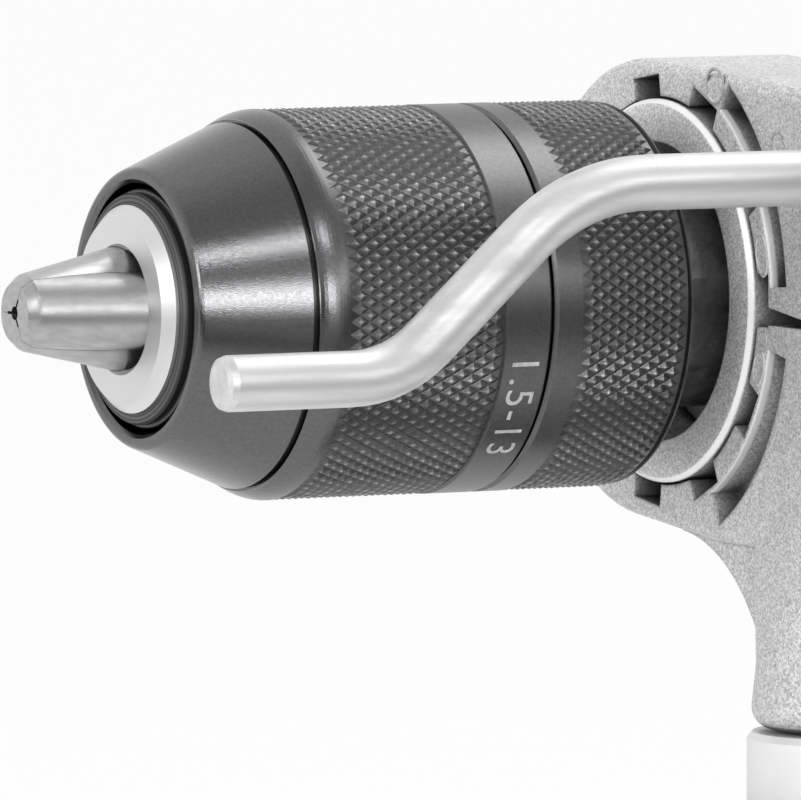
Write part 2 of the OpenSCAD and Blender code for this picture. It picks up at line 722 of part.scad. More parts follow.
module grip_slice(s, inset) {
    r = s[4] - inset;
    for (sx = [-1, 1], sy = [-1, 1])
        translate([s[0] + sx * (s[2] / 2 - inset - r), sy * (s[3] / 2 - inset - r), s[1]])
            cylinder(h = 0.4, r = r, $fn = 40);
}

module grip_form() {
    for (i = [0:2]) hull() {
        grip_slice(sections[i], 0);
        grip_slice(sections[i + 1], 0);
    }
    hull() {
        grip_slice(sections[3], 0);
        grip_slice(sections[4], 0);
        grip_slice([base_x, -grip_drop, sections[4][2] - 3, sections[4][3] - 4, 12], 0);
    }
}

module grip_room() {
    hull() {
        grip_slice(sections[1], wall);
        grip_slice(sections[2], wall);
    }
    hull() {
        grip_slice(sections[2], wall);
        grip_slice([base_x, -grip_drop + 4, grip_depth - 2, grip_w - 2, 12], 3);
    }
}

module screw_places() {
    for (p = [[rear_bearing_x + 4, 15], [rear_bearing_x + 4, -29], [grip_x + 17.5, -45],
        [grip_x + 14, -108], [base_x - 13, -grip_drop + 16]])
        translate([p[0], 0, p[1]]) children();
}

module housing() {
    vent_front = fan_x + 1;
    difference() {
        union() {
            motor_turned() polygon(concat([[0, shell_x], [housing_r + 0.6, shell_x], [housing_r + 0.6, shell_x + 3],
                [housing_r, shell_x + 3.4], [housing_r, shell_end_x - 24]],
                [for (a = [15:15:90]) [housing_r - 11 * (1 - cos(a)), shell_end_x - 24 + 21 * sin(a)]],
                [[housing_r - 14, shell_end_x], [0, shell_end_x]]));
            grip_form();
            case_boss_places() bar_x(shell_x, 12, 4.6);
        }
        bar_x(shell_x - 1, rear_bearing_x - 1 - shell_x, room_r, 0, motor_z);
        bar_x(rear_bearing_x - 4, motor_bearing_w + 4 + run, motor_bearing_r + fit, 0, motor_z);
        bar_x(rear_bearing_x, motor_bearing_w + 2, motor_bearing_r - 4, 0, motor_z);
        difference() {
            grip_room();
            screw_places() bar_y(0, 0, -30, 30, 4.6);
            translate([0, 0, motor_z]) bar_x(shell_x, motor_len, room_r + wall);
        }
        translate([trigger_x - 10, -trigger_w / 2 - gap, trigger_z - trigger_h / 2 - gap])
            cube([switch_x - trigger_x + 11, trigger_w + 2 * gap, trigger_h + 2 * gap]);
        translate([switch_x - gap, -switch_w / 2 - gap, trigger_z - switch_h / 2 - gap])
            cube([switch_len + 2 * gap, switch_w + 2 * gap, switch_h + 2 * gap]);
        translate([trigger_x - 10, -8.5, lever_z - gap]) cube([39, 17, lever_h + 2 * gap]);
        bar_y(button_x, button_z, -40, -8, button_r + gap);
        screw_places() {
            bar_y(0, 0, -60, 12, 2 + run);
            bar_y(0, 0, -60, -grip_w / 2 + 6, 3.9);
        }
        translate([gland_x, 0, -grip_drop - 1]) cylinder(h = 12, r = 7.2);
        translate([gland_x, 0, -grip_drop + 4.4]) cylinder(h = 8, r = 9.3);
        for (side = [-1, 1]) bar_y(brush_x, motor_z, side < 0 ? -housing_r - 2 : 0, side < 0 ? 0 : housing_r + 2, 7.8);
        for (a = [-60:24:60], side = [0, 180]) translate([0, 0, motor_z]) rotate([a + side, 0, 0])
            translate([vent_front, room_r - 3, -1.8]) cube([8, wall + 8, 3.6]);
        for (a = [-64:16:64], side = [0, 180]) if (abs(a) > 20) translate([0, 0, motor_z]) rotate([a + side, 0, 0])
            translate([commutator_x + 1, room_r - 3, -1.4]) cube([12, wall + 8, 2.8]);
        case_boss_places() bar_x(shell_x - 1, 9, 2 + run);
    }
}

module left_shell() {
    color("dimgray") intersection() {
        housing();
        translate([shell_x - 5, -80, -grip_drop - 10]) cube([motor_len + 40, 80 - run, grip_drop + 80]);
    }
}

module right_shell() {
    color("dimgray") intersection() {
        housing();
        translate([shell_x - 5, run, -grip_drop - 10]) cube([motor_len + 40, 80, grip_drop + 80]);
    }
}

module screw_head_cut() {
    rotate([90, 0, 0]) cylinder(h = 1.4, r = 2, $fn = 6);
}

module shell_screws() {
    head_y = -grip_w / 2 + 6;
    color("darkgray") screw_places() difference() {
        union() {
            bar_y(0, 0, head_y - 2.6, head_y, 3.6);
            bar_y(0, 0, head_y - 0.1, 11, 2);
        }
        translate([0, head_y - 2.6 + 1.3, 0]) screw_head_cut();
    }
}

module case_screws() {
    color("darkgray") case_boss_places() difference() {
        union() {
            bar_x(taper_end_x - 0.4, 3.3, 3.6);
            bar_x(taper_end_x + 2.8, case_end_x - taper_end_x + 5, 2);
        }
        translate([taper_end_x - 0.5, 0, 0]) rotate([0, 90, 0]) cylinder(h = 1.5, r = 2, $fn = 6);
    }
}

// Controls

module switch_body() {
    color("black") translate([switch_x, -switch_w / 2, trigger_z - switch_h / 2])
        cube([switch_len, switch_w, switch_h]);
}

// Trigger with a hollow face, moving straight back
module trigger() {
    r = trigger_w / 2;
    h = trigger_h;
    color("dimgray") difference() {
        intersection() {
            translate([trigger_x, 0, trigger_z - h / 2]) union() {
                translate([r, 0, 0]) cylinder(h = h, r = r);
                translate([r, -r, 0]) cube([trigger_end - r, trigger_w, h]);
            }
            translate([trigger_x, 0, trigger_z]) rotate([90, 0, 0]) linear_extrude(trigger_w + 2, center = true)
                polygon(concat([[24, -h / 2], [24, h / 2], [3, h / 2]], arc(-16, 0, 22, 32, -36, 10), [[4, -h / 2]]));
        }
        bar_x(trigger_x, 5.6, 5.8, 0, trigger_z + 7);
    }
}

module speed_dial() {
    color("black") difference() {
        bar_x(trigger_x + 1.7, 3.7, 5.5, 0, trigger_z + 7);
        for (a = [0:30:330]) translate([trigger_x, 0, trigger_z + 7]) rotate([a, 0, 0])
            bar_x(1, 2.6, 0.6, 5.5, 0);
        translate([trigger_x + 1, -0.5, trigger_z + 7]) cube([1.2, 1, 5]);
    }
}

module lock_button() {
    color("black") difference() {
        bar_y(button_x, button_z, -grip_w / 2 - 2.4, -switch_w / 2 - button_travel - 0.8, button_r);
        for (z = [-3, 0, 3]) translate([button_x - 6, -grip_w / 2 - 2.7, button_z - 0.3 + z]) cube([12, 0.7, 0.6]);
    }
}

module reverse_lever() {
    color("black") translate([trigger_x + 2.6, 0, lever_z]) {
        translate([20.4, 0, 0]) cylinder(h = lever_h, r = 5);
        translate([0, -2.6, 0]) cube([20, 5.2, lever_h]);
        cylinder(h = lever_h, r = 4);
    }
}

module mode_selector() {
    top = selector_z;
    color("black") translate([spindle_gear_x + 6, 0, 0]) difference() {
        union() {
            translate([0, 0, gear_room_r + 0.1]) cylinder(h = top - gear_room_r, r = 4);
            translate([0, 0, top]) cylinder(h = 1.6, r = 10.4);
            intersection() {
                translate([0, 0, top]) cylinder(h = 4.4, r1 = 10.4, r2 = 9.4);
                translate([-11, -3, top]) cube([22, 6, 5]);
            }
        }
        translate([-9, -0.5, top + 3.9]) cube([6, 1, 1]);
    }
}

module cord_gland() {
    z = -grip_drop;
    color("black") translate([gland_x, 0, z]) difference() {
        union() {
            translate([0, 0, 0.5]) cylinder(h = 15, r = 6.9);
            translate([0, 0, 4.7]) cylinder(h = 7.3, r = 9);
        }
        cylinder(h = 20, r = cord_bore_r);
    }
}

// Side handle

// A disc with rounded rims, part of the clamp's outline
module clamp_disc(y, z, r) {
    e = 1.3;
    translate([clamp_x, y, z]) rotate([0, 90, 0]) rotate_extrude()
        polygon(concat([[0, 0]], arc(r - e, e, e, -90, 0, 3), arc(r - e, clamp_w - e, e, 0, 90, 3), [[0, clamp_w]]));
}

// Slot in the front face, from angle a1 to a2 above the rod side
module face_slot(a1, a2, r_out) {
    translate([clamp_x - 1, 0, 0]) rotate([0, 90, 0]) rotate([0, 0, -a2 - 90])
        rotate_extrude(angle = a2 - a1) translate([slot_in_r, 0]) square([r_out - slot_in_r, slot_depth + 1]);
}

module face_notches() {
    for (i = [0:clamp_notches - 1]) rotate([-98.6 + i * 360 / clamp_notches, 0, 0])
        translate([clamp_x - 1, -notch_r, -notch_w / 2]) cube([notch_depth + 1, 6, notch_w]);
}

module knuckles(places, r) {
    for (i = places) bar_x(clamp_x + i * knuckle_w + 0.15, knuckle_w - 0.3, r, pin_y, 0);
}

module knuckle_room(places) {
    for (i = places) bar_x(clamp_x + i * knuckle_w - 0.15, knuckle_w + 0.3, knuckle_r + gap, pin_y, 0);
}

module upper_jaw() {
    color("silver") difference() {
        union() {
            difference() {
                hull() {
                    clamp_disc(clamp_offset, 0, clamp_r, $fn = 72);
                    clamp_disc(-ear_y + ear_corner, ear_top - ear_corner, ear_corner, $fn = 32);
                    clamp_disc(-ear_y + ear_corner, -6, ear_corner, $fn = 32);
                }
                slab_x(clamp_x - 1, clamp_w + 2) polygon([[60, 0.4], [0, 0.4], [0, -0.3], [-22.4, -0.3],
                    [-60, -5.1], [-60, -60], [60, -60]]);
                knuckle_room([0, 2]);
            }
            knuckles([1], knuckle_r);
        }
        bar_x(clamp_x - 1, clamp_w + 2, clamp_bore_r);
        bar_x(clamp_x - 1, clamp_w + 2, pin_r + run, pin_y, 0);
        bar_x(clamp_x - 1, clamp_w + 2, rod_r + 0.1, -rod_y, rod_z);
        face_notches();
        face_slot(4, 58, slot_out_r);
        translate([clamp_mid_x, -bolt_y, -10]) cylinder(h = 40, r = bolt_r + bolt_slack);
        translate([clamp_mid_x, -bolt_y, nut_z]) cylinder(h = 40, r = hex_r + run, $fn = 6);
        bar_y(clamp_mid_x, rod_z, -ear_y - 5, -rod_y, 2.5 + run);
    }
}

module lower_jaw() {
    neck_y = -bolt_y;
    fillet_r = 22.2;
    fillet_y = -1.2;
    fillet_z = -48.7;
    color("silver") difference() {
        union() {
            difference() {
                union() {
                    hull() {
                        clamp_disc(clamp_offset, 0, clamp_r, $fn = 72);
                        clamp_disc(-ear_y + 4 + ear_corner, -8, ear_corner, $fn = 32);
                        clamp_disc(-ear_y + 6 + ear_corner, -22, ear_corner, $fn = 32);
                        clamp_disc(-12, -25.4, 2, $fn = 32);
                    }
                    hull() {
                        clamp_disc(-ear_y + 6 + ear_corner, -24, ear_corner, $fn = 32);
                        clamp_disc(-23, -28, 3, $fn = 32);
                        translate([clamp_mid_x, neck_y, -40]) cylinder(h = 2, r = neck_r - 0.3, $fn = 64);
                    }
                    difference() {
                        slab_x(clamp_x + 1, clamp_w - 2) polygon([[fillet_y - 2, -20], [fillet_y - 2, -44],
                            [-26, -44], [-26, -20]]);
                        bar_x(clamp_x - 1, clamp_w + 2, fillet_r, fillet_y, fillet_z, $fn = 96);
                    }
                }
                slab_x(clamp_x - 1, clamp_w + 2) polygon([[60, -0.4], [0, -0.4], [0, -2.5], [-60, -2.5],
                    [-60, 60], [60, 60]]);
                knuckle_room([1]);
            }
            knuckles([0, 2], knuckle_r);
            translate([clamp_mid_x, neck_y, 0]) rotate_extrude() polygon(concat([[0, -neck_drop],
                [neck_r - 2, -neck_drop]], arc(neck_r - 2.2, -neck_drop + 2.4, 2.4, -80, 0, 5),
                [[neck_r - 0.3, -40], [neck_r - 0.3, -38.2], [0, -38.2]]));
        }
        bar_x(clamp_x - 1, clamp_w + 2, clamp_bore_r);
        bar_x(clamp_x - 1, clamp_w + 2, pin_r + run, pin_y, 0);
        face_notches();
        face_slot(-63, -12, slot_out_r + 0.5);
        translate([clamp_mid_x, -bolt_y, -neck_drop - 5]) cylinder(h = 60, r = bolt_r + gap);
    }
}

module hinge_pin() {
    color("gray") bar_x(clamp_x + 0.3, clamp_w - 0.6, pin_r, pin_y, 0);
}

module clamp_nut() {
    color("gray") translate([clamp_mid_x, -bolt_y, nut_z]) difference() {
        cylinder(h = nut_h, r = hex_r, $fn = 6);
        translate([0, 0, -1]) cylinder(h = nut_h + 2, r = bolt_r + run);
    }
}

// Its threaded end is drawn at the root of the thread, because the nut rocks with the upper jaw
module handle_bolt() {
    color("darkgray") translate([clamp_mid_x, -bolt_y, grip_top_z - bolt_depth]) {
        cylinder(h = nut_z - 0.6 - grip_top_z + bolt_depth, r = bolt_r);
        cylinder(h = nut_z + nut_h + 1.5 - grip_top_z + bolt_depth, r = bolt_root_r);
        cylinder(h = 4.5, r = hex_r, $fn = 6);
    }
}

// Smooth ring that the neck sits on
module handle_ferrule() {
    color("gainsboro") translate([clamp_mid_x, -bolt_y, grip_top_z]) difference() {
        rotate_extrude() polygon([[0, 0], [neck_r + 0.1, 0], [neck_r + 0.7, -0.7], [neck_r + 0.7, -9], [0, -9]]);
        translate([0, 0, -20]) cylinder(h = 30, r = bolt_r + run);
    }
}

// Grip with a guard at the top, a swell for the palm and a rounded end
module handle_grip() {
    top = grip_top_z - 9.1;
    end = grip_end_z;
    mid = (top + end) / 2;
    color("dimgray") translate([clamp_mid_x, -bolt_y, 0]) difference() {
        rotate_extrude() polygon(concat([[0, top], [neck_r + 1.5, top]],
            arc(side_grip_r + 1, top - 3.5, 3, 90, -90, 8),
            [[side_grip_r - 3.4, top - 9], [side_grip_r - 3.6, top - 14]],
            [for (i = [0:10]) [side_grip_r - 3.6 + 3.2 * sin(i * 18), top - 14 + (end + 22 - top + 14) * i / 10]],
            [[side_grip_r - 3.2, end + 17]],
            arc(side_grip_r - 4.2, end + 6, 6, 60, -90, 8), [[0, end]]));
        for (i = [0:5]) translate([0, 0, top - 24 - i * 9]) rotate_extrude()
            translate([side_grip_r + 0.5, 0]) circle(r = 1.6, $fn = 24);
        translate([0, 0, grip_top_z - bolt_depth - run]) cylinder(h = 60, r = bolt_r + run);
        translate([0, 0, grip_top_z - bolt_depth - run]) cylinder(h = 4.5 + 2 * run, r = hex_r + run, $fn = 6);
    }
}

// Depth rod with its crank

rod_front_bend = 14;
rod_rear_bend = 22;
rod_drop = rod_z - rod_front_z;
rod_slope = (rod_drop - (rod_front_bend + rod_rear_bend) * (1 - cos(rod_bend))) / sin(rod_bend);
crank_end_x = clamp_x - 23.2;
crank_len = (rod_front_bend + rod_rear_bend) * sin(rod_bend) + rod_slope * cos(rod_bend);
crank_x = crank_end_x - crank_len;

// An elbow in the plane of the rod. It starts level at [x, z], with its bend centre above or below,
// and is a hair slimmer than the bars, whose ends it reaches into
module elbow(x, z, r, side) {
    lap = 1;
    translate([x, 0, z + side * r]) rotate([90, 0, 0]) rotate([0, 0, side * -90 - lap])
        rotate_extrude(angle = rod_bend + 2 * lap) translate([r, 0]) circle(r = rod_r - 0.02);
}

module depth_rod() {
    slope_x = crank_x + rod_front_bend * sin(rod_bend);
    slope_z = rod_front_z + rod_front_bend * (1 - cos(rod_bend));
    color("lightgray") translate([0, -rod_y, 0]) {
        translate([0, 0, rod_front_z]) turned() polygon([[0, rod_tip_x], [rod_r - 0.9, rod_tip_x],
            [rod_r - 0.25, rod_tip_x + 0.3], [rod_r, rod_tip_x + 1], [rod_r, crank_x], [0, crank_x]]);
        elbow(crank_x, rod_front_z, rod_front_bend, 1);
        translate([slope_x, 0, slope_z]) rotate([0, -rod_bend, 0]) bar_x(0, rod_slope, rod_r);
        elbow(crank_end_x, rod_z, rod_rear_bend, -1);
        bar_x(crank_end_x, rod_end_x - crank_end_x, rod_r, 0, rod_z);
    }
}

module rod_screw() {
    knob_y = -ear_y - gap;
    color("dimgray") difference() {
        union() {
            bar_y(clamp_mid_x, rod_z, knob_y - 2, -rod_y - rod_r - 0.1, 2.5);
            bar_y(clamp_mid_x, rod_z, knob_y - 3, knob_y, 5);
            bar_y(clamp_mid_x, rod_z, knob_y - 12, knob_y - 2.5, 8);
        }
        for (a = [0:45:315]) translate([clamp_mid_x, 0, rod_z]) rotate([0, a, 0])
            bar_y(9.6, 0, knob_y - 14, knob_y - 2.4, 2.6);
    }
}

jaw(0);  // jaw_1
jaw(120);  // jaw_2
jaw(240);  // jaw_3
chuck_body();
dust_ring();
front_sleeve();
split_nut();
thrust_balls();
rear_sleeve();
chuck_screw();
spindle();
spindle_gear();
turning_ratchet();
fixed_ratchet();
hammer_spring();
front_bearing();
rear_bush();
gear_case();
gear_plate();
intermediate_shaft();
intermediate_gear();
bearing_bracket();
armature_shaft();
armature_core();
armature_windings();
commutator();
fan();
motor_front_bearing();
motor_rear_bearing();
stator_core();
field_coils();
brush_holders();
carbon_brushes();
brush_caps();
left_shell();
right_shell();
shell_screws();
case_screws();
switch_body();
trigger();
speed_dial();
lock_button();
reverse_lever();
mode_selector();
cord_gland();
lower_jaw();
upper_jaw();
hinge_pin();
clamp_nut();
handle_bolt();
handle_ferrule();
handle_grip();
depth_rod();
rod_screw();
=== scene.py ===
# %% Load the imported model
import math
import bpy
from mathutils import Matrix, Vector


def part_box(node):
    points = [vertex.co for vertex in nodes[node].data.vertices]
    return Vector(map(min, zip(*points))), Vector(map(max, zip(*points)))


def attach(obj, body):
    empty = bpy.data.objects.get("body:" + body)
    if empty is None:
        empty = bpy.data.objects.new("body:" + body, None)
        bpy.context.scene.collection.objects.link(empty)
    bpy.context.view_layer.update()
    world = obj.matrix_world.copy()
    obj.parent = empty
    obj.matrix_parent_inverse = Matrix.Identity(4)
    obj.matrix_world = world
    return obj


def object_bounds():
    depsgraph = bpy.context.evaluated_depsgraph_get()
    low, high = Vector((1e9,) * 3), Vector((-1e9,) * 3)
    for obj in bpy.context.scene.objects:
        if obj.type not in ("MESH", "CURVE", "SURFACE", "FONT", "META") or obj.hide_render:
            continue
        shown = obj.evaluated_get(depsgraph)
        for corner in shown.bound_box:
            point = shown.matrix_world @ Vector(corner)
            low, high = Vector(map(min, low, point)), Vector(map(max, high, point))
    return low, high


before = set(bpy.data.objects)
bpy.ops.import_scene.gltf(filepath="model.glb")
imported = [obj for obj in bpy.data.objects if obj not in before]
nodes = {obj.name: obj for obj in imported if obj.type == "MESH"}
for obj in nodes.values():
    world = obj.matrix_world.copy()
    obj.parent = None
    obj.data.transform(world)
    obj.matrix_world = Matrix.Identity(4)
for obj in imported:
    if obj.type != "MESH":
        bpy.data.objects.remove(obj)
cad_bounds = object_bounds()
mm = 0.001

# %% [markdown]
# # A hammer drill, dressed for its picture
#
# The solids of the drill arrive finished and fixed: each named piece already lies in its place, in
# metres, with the tips of the chuck's jaws at the origin, the spindle along X and the depth rod on
# the -Y side. This lesson adds what solids don't carry: the cut of the knurls, the printed numbers,
# the moulding marks, and a finish for each surface.
#
# The picture is black and white, so what shows in it gets a grey with the right gloss, and the
# light does most of the work.
#
# Three small helpers come first. An operator touches all that is selected, so one helper selects
# just the pieces that it is given. The other two read a solid's corners in millimetres.

# %% Small helpers
scene = bpy.context.scene


def only(*chosen):
    """Nothing else is selected, so that an operator touches these alone."""
    if bpy.context.object and bpy.context.object.mode != "OBJECT":
        bpy.ops.object.mode_set(mode="OBJECT")
    bpy.ops.object.select_all(action="DESELECT")
    for one in chosen:
        one.select_set(True)
    bpy.context.view_layer.objects.active = chosen[0]


def low(node):
    """The lowest corner of a solid, in millimetres."""
    return Vector(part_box(node)[0]) / mm


def high(node):
    """The highest corner of a solid, in millimetres."""
    return Vector(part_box(node)[1]) / mm


print("chuck from", round(low("jaw_1").x, 1), "to", round(high("rear_sleeve").x, 1), "mm")

# %% [markdown]
# ## Camera
#
# The photograph was taken from in front of the drill, a little over 28 degrees round from square on
# and 4 degrees above level, with a long lens: opposite edges stay almost parallel. A long lens from
# a metre and a half away gives the same flat look. The middle of the frame lies on the front
# sleeve, because the picture shows only the nose of the drill.

# %% Camera
frame_width_px = 801
towards_camera = Vector((-0.4712, -0.8791, 0.0727)).normalized()
look_at = Vector((47.6, 0, -11.1)) * mm
camera_distance = 1.54
pixels_per_mm = 9.06

camera_lens = bpy.data.cameras.new("camera")
camera = bpy.data.objects.new("camera", camera_lens)
scene.collection.objects.link(camera)
camera.location = look_at + towards_camera * camera_distance
camera.rotation_euler = (-towards_camera).to_track_quat("-Z", "Y").to_euler()
camera_lens.sensor_width = 36
camera_lens.lens = pixels_per_mm * camera_distance / mm * camera_lens.sensor_width / frame_width_px
camera_lens.clip_end = 50
scene.camera = camera
print("lens", round(camera_lens.lens), "mm at", camera_distance, "m")

# %% [markdown]
# ## Helpers for shader trees
#
# A shader tree is built from a few kinds of node again and again. Each helper adds one node, feeds
# it with a link or a plain value, and gives back what comes out. That keeps the recipes below as
# short as the thought behind them.

# %% Helpers for shader trees


def feed(tree, socket, value):
    """Links another node's output to the socket, or sets it to a plain value."""
    if isinstance(value, bpy.types.NodeSocket):
        tree.links.new(value, socket)
    else:
        socket.default_value = value


def maths(tree, operation, first, second=0.0):
    """A sum on one or two numbers."""
    node = tree.nodes.new("ShaderNodeMath")
    node.operation = operation
    feed(tree, node.inputs[0], first)
    feed(tree, node.inputs[1], second)
    return node.outputs[0]


def spread(tree, value, low_out, high_out, low_in=0.3, high_in=0.7):
    """Stretches one range to another; by default the middle of a noise."""
    node = tree.nodes.new("ShaderNodeMapRange")
    for socket, number in (("From Min", low_in), ("From Max", high_in),
                           ("To Min", low_out), ("To Max", high_out)):
        node.inputs[socket].default_value = number
    tree.links.new(value, node.inputs["Value"])
    return node.outputs["Result"]


def tones(tree, factor, first, second, blend="MIX"):
    """A colour between two colours or trees."""
    node = tree.nodes.new("ShaderNodeMix")
    node.data_type = "RGBA"
    node.blend_type = blend
    feed(tree, node.inputs["Factor"], factor)
    feed(tree, node.inputs["A"], first)
    feed(tree, node.inputs["B"], second)
    return node.outputs["Result"]


def axes(tree, coordinates="Object"):
    """X, Y and Z of a point, or of a direction in the sky."""
    place = tree.nodes.new("ShaderNodeTexCoord")
    split = tree.nodes.new("ShaderNodeSeparateXYZ")
    tree.links.new(place.outputs[coordinates], split.inputs[0])
    return split.outputs


def grey(level):
    """A grey as a colour with its alpha."""
    return (level, level, level, 1)


def empty_tree(owner):
    """The node tree of a new material or world, with nothing in it."""
    owner.use_nodes = True
    owner.node_tree.nodes.clear()
    return owner.node_tree


print("node helpers ready")

# %% [markdown]
# ## Floor
#
# Dark satin metal shows its surroundings more than itself. In the photograph the drill stands in a
# white booth, and the sleeves mirror a dark band along their middle, where the booth is open
# towards the camera.
#
# The floor shows the camera near-white, so that the background is as white as in the photograph,
# while a small share of it stays paint and takes a soft shadow. In mirrors it is white under the
# drill and behind it, and dark in front, where the booth's table ends.

# %% Floor
floor_share_white = 0.92
table_dark_from, table_white_from = -0.48, -0.20
dark_table = 0.04
floor_gap = 0.0002


def seen_rays(tree):
    """One for rays that show a surface as such: from the camera, off a mirror, through glass."""
    rays = tree.nodes.new("ShaderNodeLightPath")
    mirrored = maths(tree, "MAXIMUM", rays.outputs["Is Camera Ray"], rays.outputs["Is Glossy Ray"])
    return maths(tree, "MAXIMUM", mirrored, rays.outputs["Is Transmission Ray"])


floor_level = cad_bounds[0][2]
only(nodes["gear_case"])
bpy.ops.mesh.primitive_plane_add(size=24, location=(0, 0, floor_level - floor_gap))
floor = bpy.context.object
floor.name = "floor"

floor_finish = bpy.data.materials.new("pale_floor")
tree = empty_tree(floor_finish)
floor_paint = tree.nodes.new("ShaderNodeBsdfDiffuse")
floor_paint.inputs["Color"].default_value = grey(0.82)
floor_white = tree.nodes.new("ShaderNodeEmission")
floor_white.inputs["Color"].default_value = grey(1)
table = spread(tree, axes(tree)["Y"], dark_table, 1, table_dark_from, table_white_from)
camera_rays = tree.nodes.new("ShaderNodeLightPath").outputs["Is Camera Ray"]
feed(tree, floor_white.inputs["Strength"], maths(tree, "MAXIMUM", table, camera_rays))
floor_mix = tree.nodes.new("ShaderNodeMixShader")
floor_out = tree.nodes.new("ShaderNodeOutputMaterial")
feed(tree, floor_mix.inputs["Fac"], maths(tree, "MULTIPLY", seen_rays(tree), floor_share_white))
tree.links.new(floor_paint.outputs[0], floor_mix.inputs[1])
tree.links.new(floor_white.outputs[0], floor_mix.inputs[2])
tree.links.new(floor_mix.outputs[0], floor_out.inputs["Surface"])
floor.data.materials.append(floor_finish)
print("floor at", round(floor_level / mm, 1), "mm")

# %% [markdown]
# ## Sky
#
# The sky is the rest of the booth. On the camera's side it is dim near the horizon, brightest at
# about 16 degrees up and medium overhead, so that the sleeves go from dark to pale round their
# barrel. Behind the drill it is an even pale grey. The camera itself sees plain white.

# %% Sky
sky_strength = 1.8
sky_greys = ((0.02, 0.09), (0.28, 0.40), (0.8, 0.30))
open_side, closed_side = -0.25, 0.35
backdrop_grey = 0.55

world = bpy.data.worlds.new("booth")
scene.world = world
tree = empty_tree(world)
direction = axes(tree, "Generated")
sky_ramp = tree.nodes.new("ShaderNodeValToRGB")
ramp_stops = sky_ramp.color_ramp.elements
ramp_stops.new(sky_greys[1][0])
for stop, (height, level) in zip(ramp_stops, sky_greys):
    stop.position = height
    stop.color = grey(level)
tree.links.new(direction["Z"], sky_ramp.inputs[0])
behind = spread(tree, direction["Y"], 0, 1, open_side, closed_side)
sky_light = tree.nodes.new("ShaderNodeBackground")
feed(tree, sky_light.inputs["Color"],
     tones(tree, behind, sky_ramp.outputs[0], grey(backdrop_grey)))
sky_light.inputs["Strength"].default_value = sky_strength
sky_white = tree.nodes.new("ShaderNodeBackground")
sky_white.inputs["Color"].default_value = grey(1)
sky_rays = tree.nodes.new("ShaderNodeLightPath")
sky_mix = tree.nodes.new("ShaderNodeMixShader")
sky_out = tree.nodes.new("ShaderNodeOutputWorld")
tree.links.new(sky_rays.outputs["Is Camera Ray"], sky_mix.inputs["Fac"])
tree.links.new(sky_light.outputs[0], sky_mix.inputs[1])
tree.links.new(sky_white.outputs[0], sky_mix.inputs[2])
tree.links.new(sky_mix.outputs[0], sky_out.inputs["Surface"])
scene.view_settings.view_transform = "Standard"
print("sky stops:", [(round(stop.position, 2), round(stop.color[0], 2)) for stop in ramp_stops])

# %% [markdown]
# ## Lamps
#
# Each highlight on the chuck is the mirror image of one soft box, so each box is placed for the
# highlight that it makes. The key light draws the broad white patch on the cone and on the rod, the
# thin light the line above it. The long light fills the clamp's front, the top light the upper
# faces, and the nose light the nose and the clamp's face from the left.

# %% Lamps


def soft_box(name, place, faces_x, width, height, watts):
    """A rectangular lamp that faces a point on the spindle."""
    lamp_data = bpy.data.lights.new(name, "AREA")
    lamp_data.shape = "RECTANGLE"
    lamp_data.size = width
    lamp_data.size_y = height
    lamp_data.energy = watts
    lamp = bpy.data.objects.new(name, lamp_data)
    scene.collection.objects.link(lamp)
    lamp.location = place
    aim = Vector((faces_x, 0, 0)) - Vector(place)
    lamp.rotation_euler = aim.to_track_quat("-Z", "Y").to_euler()


soft_box("key_light", (-0.45, -1.40, 0.22), 0.06, width=0.65, height=0.32, watts=5)
soft_box("thin_light", (-0.50, -1.17, 1.09), 0.06, width=0.7, height=0.12, watts=3)
soft_box("long_light", (0.70, -1.35, 0.42), 0.06, width=1.4, height=0.30, watts=4)
soft_box("top_light", (0.85, 0.05, 1.30), 0.06, width=0.9, height=0.9, watts=8)
soft_box("nose_light", (-1.45, -0.35, 0.45), 0.08, width=0.8, height=0.6, watts=6.5)

# %% [markdown]
# ## Finishes
#
# Most finishes are one small recipe: a broad noise that clouds the colour and the gloss, and a fine
# noise that is felt as bump. What differs is their size, and how strong they are. Moulded parts
# also get their edges rounded and lightened where hands and bags rub them: the Bevel node looks for
# edges, so no mesh has to change.

# %% The common recipe


def new_finish(name):
    """A material with an empty tree but for its shader; gives material, tree and shader."""
    material = bpy.data.materials.new(name)
    tree = empty_tree(material)
    out = tree.nodes.new("ShaderNodeOutputMaterial")
    shader = tree.nodes.new("ShaderNodeBsdfPrincipled")
    tree.links.new(shader.outputs["BSDF"], out.inputs["Surface"])
    return material, tree, shader


def noise(tree, scale, detail=2.0, stretch=(1, 1, 1), roughness=0.5):
    """Noise on the piece's own coordinates; scale counts features in a metre."""
    place = tree.nodes.new("ShaderNodeTexCoord")
    mapping = tree.nodes.new("ShaderNodeMapping")
    mapping.inputs["Scale"].default_value = stretch
    texture = tree.nodes.new("ShaderNodeTexNoise")
    texture.inputs["Scale"].default_value = scale
    texture.inputs["Detail"].default_value = detail
    texture.inputs["Roughness"].default_value = roughness
    tree.links.new(place.outputs["Object"], mapping.inputs["Vector"])
    tree.links.new(mapping.outputs["Vector"], texture.inputs["Vector"])
    return texture.outputs["Fac"]


def bump(tree, height, depth, normal=None):
    """Relief of a given depth in metres."""
    node = tree.nodes.new("ShaderNodeBump")
    node.inputs["Distance"].default_value = depth
    node.inputs["Strength"].default_value = 1.0
    tree.links.new(height, node.inputs["Height"])
    if normal is not None:
        tree.links.new(normal, node.inputs["Normal"])
    return node.outputs["Normal"]


def vector_maths(tree, operation, first, second=(0, 0, 0)):
    """A sum on one or two vectors; two kinds of it give a number."""
    node = tree.nodes.new("ShaderNodeVectorMath")
    node.operation = operation
    feed(tree, node.inputs[0], first)
    feed(tree, node.inputs[1], second)
    return node.outputs["Value" if operation in ("DOT_PRODUCT", "LENGTH") else "Vector"]


